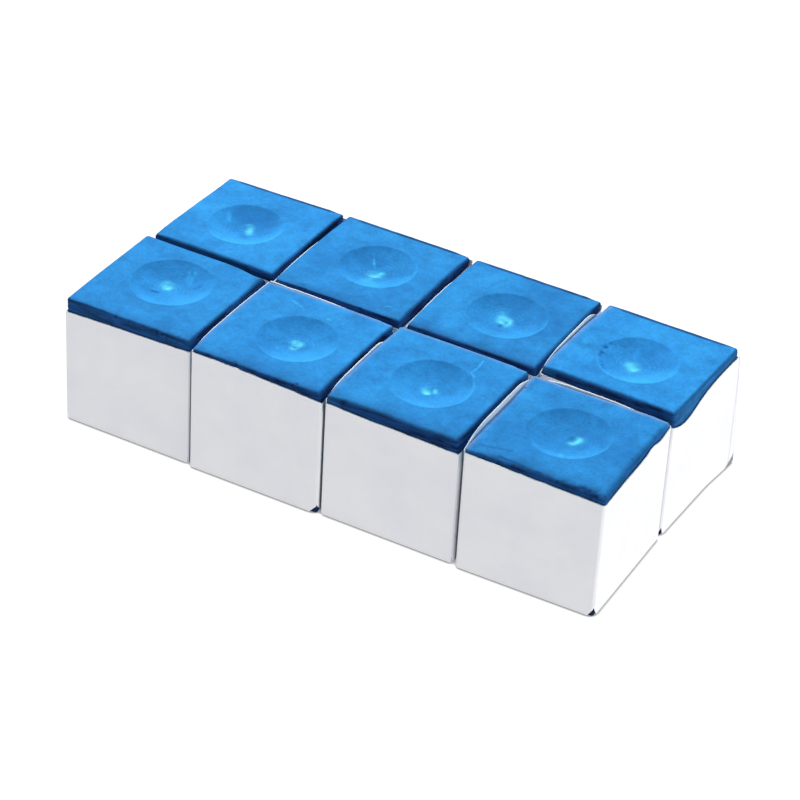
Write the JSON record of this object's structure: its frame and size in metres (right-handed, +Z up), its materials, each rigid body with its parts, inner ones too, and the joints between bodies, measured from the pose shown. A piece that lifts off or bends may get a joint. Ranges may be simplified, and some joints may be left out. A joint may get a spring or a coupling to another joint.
{
  "type": "cue chalk cubes",
  "caption": "Block of loose billiard chalk cubes, each a pressed blue chalk block with a shallow tip dish in its top face, wrapped in a folded white paper label.",
  "frame": {"origin": "middle of the block's footprint, on the surface that the cubes stand on", "axes": "+X along the longer rows, from the first cube to the last; +Y from the front row to the back row; +Z up, towards the dished faces"},
  "size_m": [0.0896, 0.0454, 0.0215],
  "materials": {
    "chalk": "matt, dusty, slightly mottled pressed blue chalk",
    "label_paper": "smooth uncoated white paper, matt"
  },
  "bodies": {
    "cube_front_1": {"chalk_front_1": "chalk", "label_front_1": "label_paper"},
    "cube_front_2": {"chalk_front_2": "chalk", "label_front_2": "label_paper"},
    "cube_front_3": {"chalk_front_3": "chalk", "label_front_3": "label_paper"},
    "cube_front_4": {"chalk_front_4": "chalk", "label_front_4": "label_paper"},
    "cube_back_1": {"chalk_back_1": "chalk", "label_back_1": "label_paper"},
    "cube_back_2": {"chalk_back_2": "chalk", "label_back_2": "label_paper"},
    "cube_back_3": {"chalk_back_3": "chalk", "label_back_3": "label_paper"},
    "cube_back_4": {"chalk_back_4": "chalk", "label_back_4": "label_paper"}
  },
  "joints": [
    {"name": "lift_front_2", "type": "slide", "parent": "cube_front_1", "child": "cube_front_2", "axis": [0, 0, 1], "range_m": [0, 0.03]},
    {"name": "lift_front_3", "type": "slide", "parent": "cube_front_1", "child": "cube_front_3", "axis": [0, 0, 1], "range_m": [0, 0.03]},
    {"name": "lift_front_4", "type": "slide", "parent": "cube_front_1", "child": "cube_front_4", "axis": [0, 0, 1], "range_m": [0, 0.03]},
    {"name": "lift_back_1", "type": "slide", "parent": "cube_front_1", "child": "cube_back_1", "axis": [0, 0, 1], "range_m": [0, 0.03]},
    {"name": "lift_back_2", "type": "slide", "parent": "cube_front_1", "child": "cube_back_2", "axis": [0, 0, 1], "range_m": [0, 0.03]},
    {"name": "lift_back_3", "type": "slide", "parent": "cube_front_1", "child": "cube_back_3", "axis": [0, 0, 1], "range_m": [0, 0.03]},
    {"name": "lift_back_4", "type": "slide", "parent": "cube_front_1", "child": "cube_back_4", "axis": [0, 0, 1], "range_m": [0, 0.03]}
  ]
}
